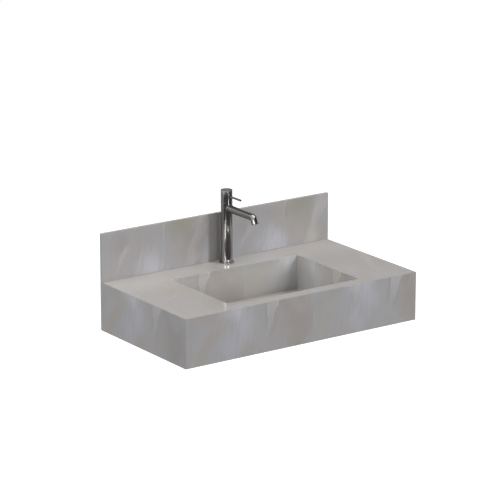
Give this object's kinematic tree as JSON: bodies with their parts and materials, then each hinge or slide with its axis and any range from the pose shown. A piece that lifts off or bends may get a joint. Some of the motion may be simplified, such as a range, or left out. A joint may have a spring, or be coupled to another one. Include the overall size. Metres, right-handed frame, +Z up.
{
  "type": "wall-hung bathroom vanity",
  "caption": "Wall-hung stone vanity top with aprons, upstand and rectangular slab basin, a tall single-lever mixer tap, pop-up waste and a hidden steel wall frame.",
  "frame": {"origin": "centre of the wall rail's back face, where the unit meets the wall", "axes": "+X to the right seen from the front, +Y into the wall, +Z up"},
  "size_m": [1, 0.545, 0.5292],
  "materials": {
    "stone": "polished sintered slab, soft grey and beige clouds with light veins",
    "gunmetal": "polished",
    "steel": "zinc plated",
    "brass": "machined",
    "rubber": "matte",
    "polymer": "moulded",
    "sealant": "grey sealant",
    "painted_frame": "black powder coat"
  },
  "bodies": {
    "vanity": {"top_slab": "stone", "front_apron": "stone", "left_apron": "stone", "right_apron": "stone", "upstand": "stone", "basin_back_wall": "stone", "basin_front_wall": "stone", "basin_left_wall": "stone", "basin_right_wall": "stone", "basin_floor": "stone", "upstand_seal": "sealant", "corner_block_left": "polymer", "corner_block_right": "polymer", "wall_rail": "painted_frame", "left_arm": "painted_frame", "right_arm": "painted_frame", "left_arm_pad": "rubber", "right_arm_pad": "rubber", "left_arm_bolt": "steel", "right_arm_bolt": "steel", "front_rail": "painted_frame", "cradle_bar_front": "painted_frame", "cradle_bar_back": "painted_frame", "hanger_bolt_front_left": "steel", "hanger_bolt_front_right": "steel", "hanger_bolt_back_left": "steel", "hanger_bolt_back_right": "steel", "waste_body": "gunmetal", "waste_upper_gasket": "rubber", "waste_lower_gasket": "rubber", "waste_washer": "steel", "waste_lock_nut": "brass", "waste_tail": "gunmetal", "plug_click_cartridge": "brass", "tap_base_flange": "gunmetal", "tap_base_gasket": "rubber", "tap_body": "gunmetal", "tap_spout": "gunmetal", "spout_collar": "gunmetal", "aerator_housing": "gunmetal", "aerator_insert": "polymer", "cartridge_body": "polymer", "dome_nut": "gunmetal", "tap_shank": "brass", "deck_rubber_washer": "rubber", "deck_steel_washer": "steel", "tap_fixing_nut": "brass", "inlet_tube_hot": "brass", "inlet_tube_cold": "brass"},
    "mixer_rotor": {"cartridge_rotor": "polymer", "spindle_pin": "steel"},
    "handle": {"handle_spindle": "steel", "handle_cap": "gunmetal", "handle_lever": "gunmetal", "handle_grub_screw": "steel"},
    "plug": {"plug_cap": "gunmetal", "plug_seal": "rubber"}
  },
  "joints": [
    {"name": "handle_turn", "type": "hinge", "parent": "vanity", "child": "mixer_rotor", "pos_m": [0.0112, -0.051, 0.2563], "axis": [0, 0, 1], "range_deg": [-50, 50]},
    {"name": "handle_lift", "type": "hinge", "parent": "mixer_rotor", "child": "handle", "pos_m": [0.0112, -0.051, 0.2563], "axis": [-1, 0, 0], "range_deg": [0, 20]},
    {"name": "plug_travel", "type": "slide", "parent": "vanity", "child": "plug", "axis": [0, 0, 1], "range_m": [0, 0.009]}
  ]
}
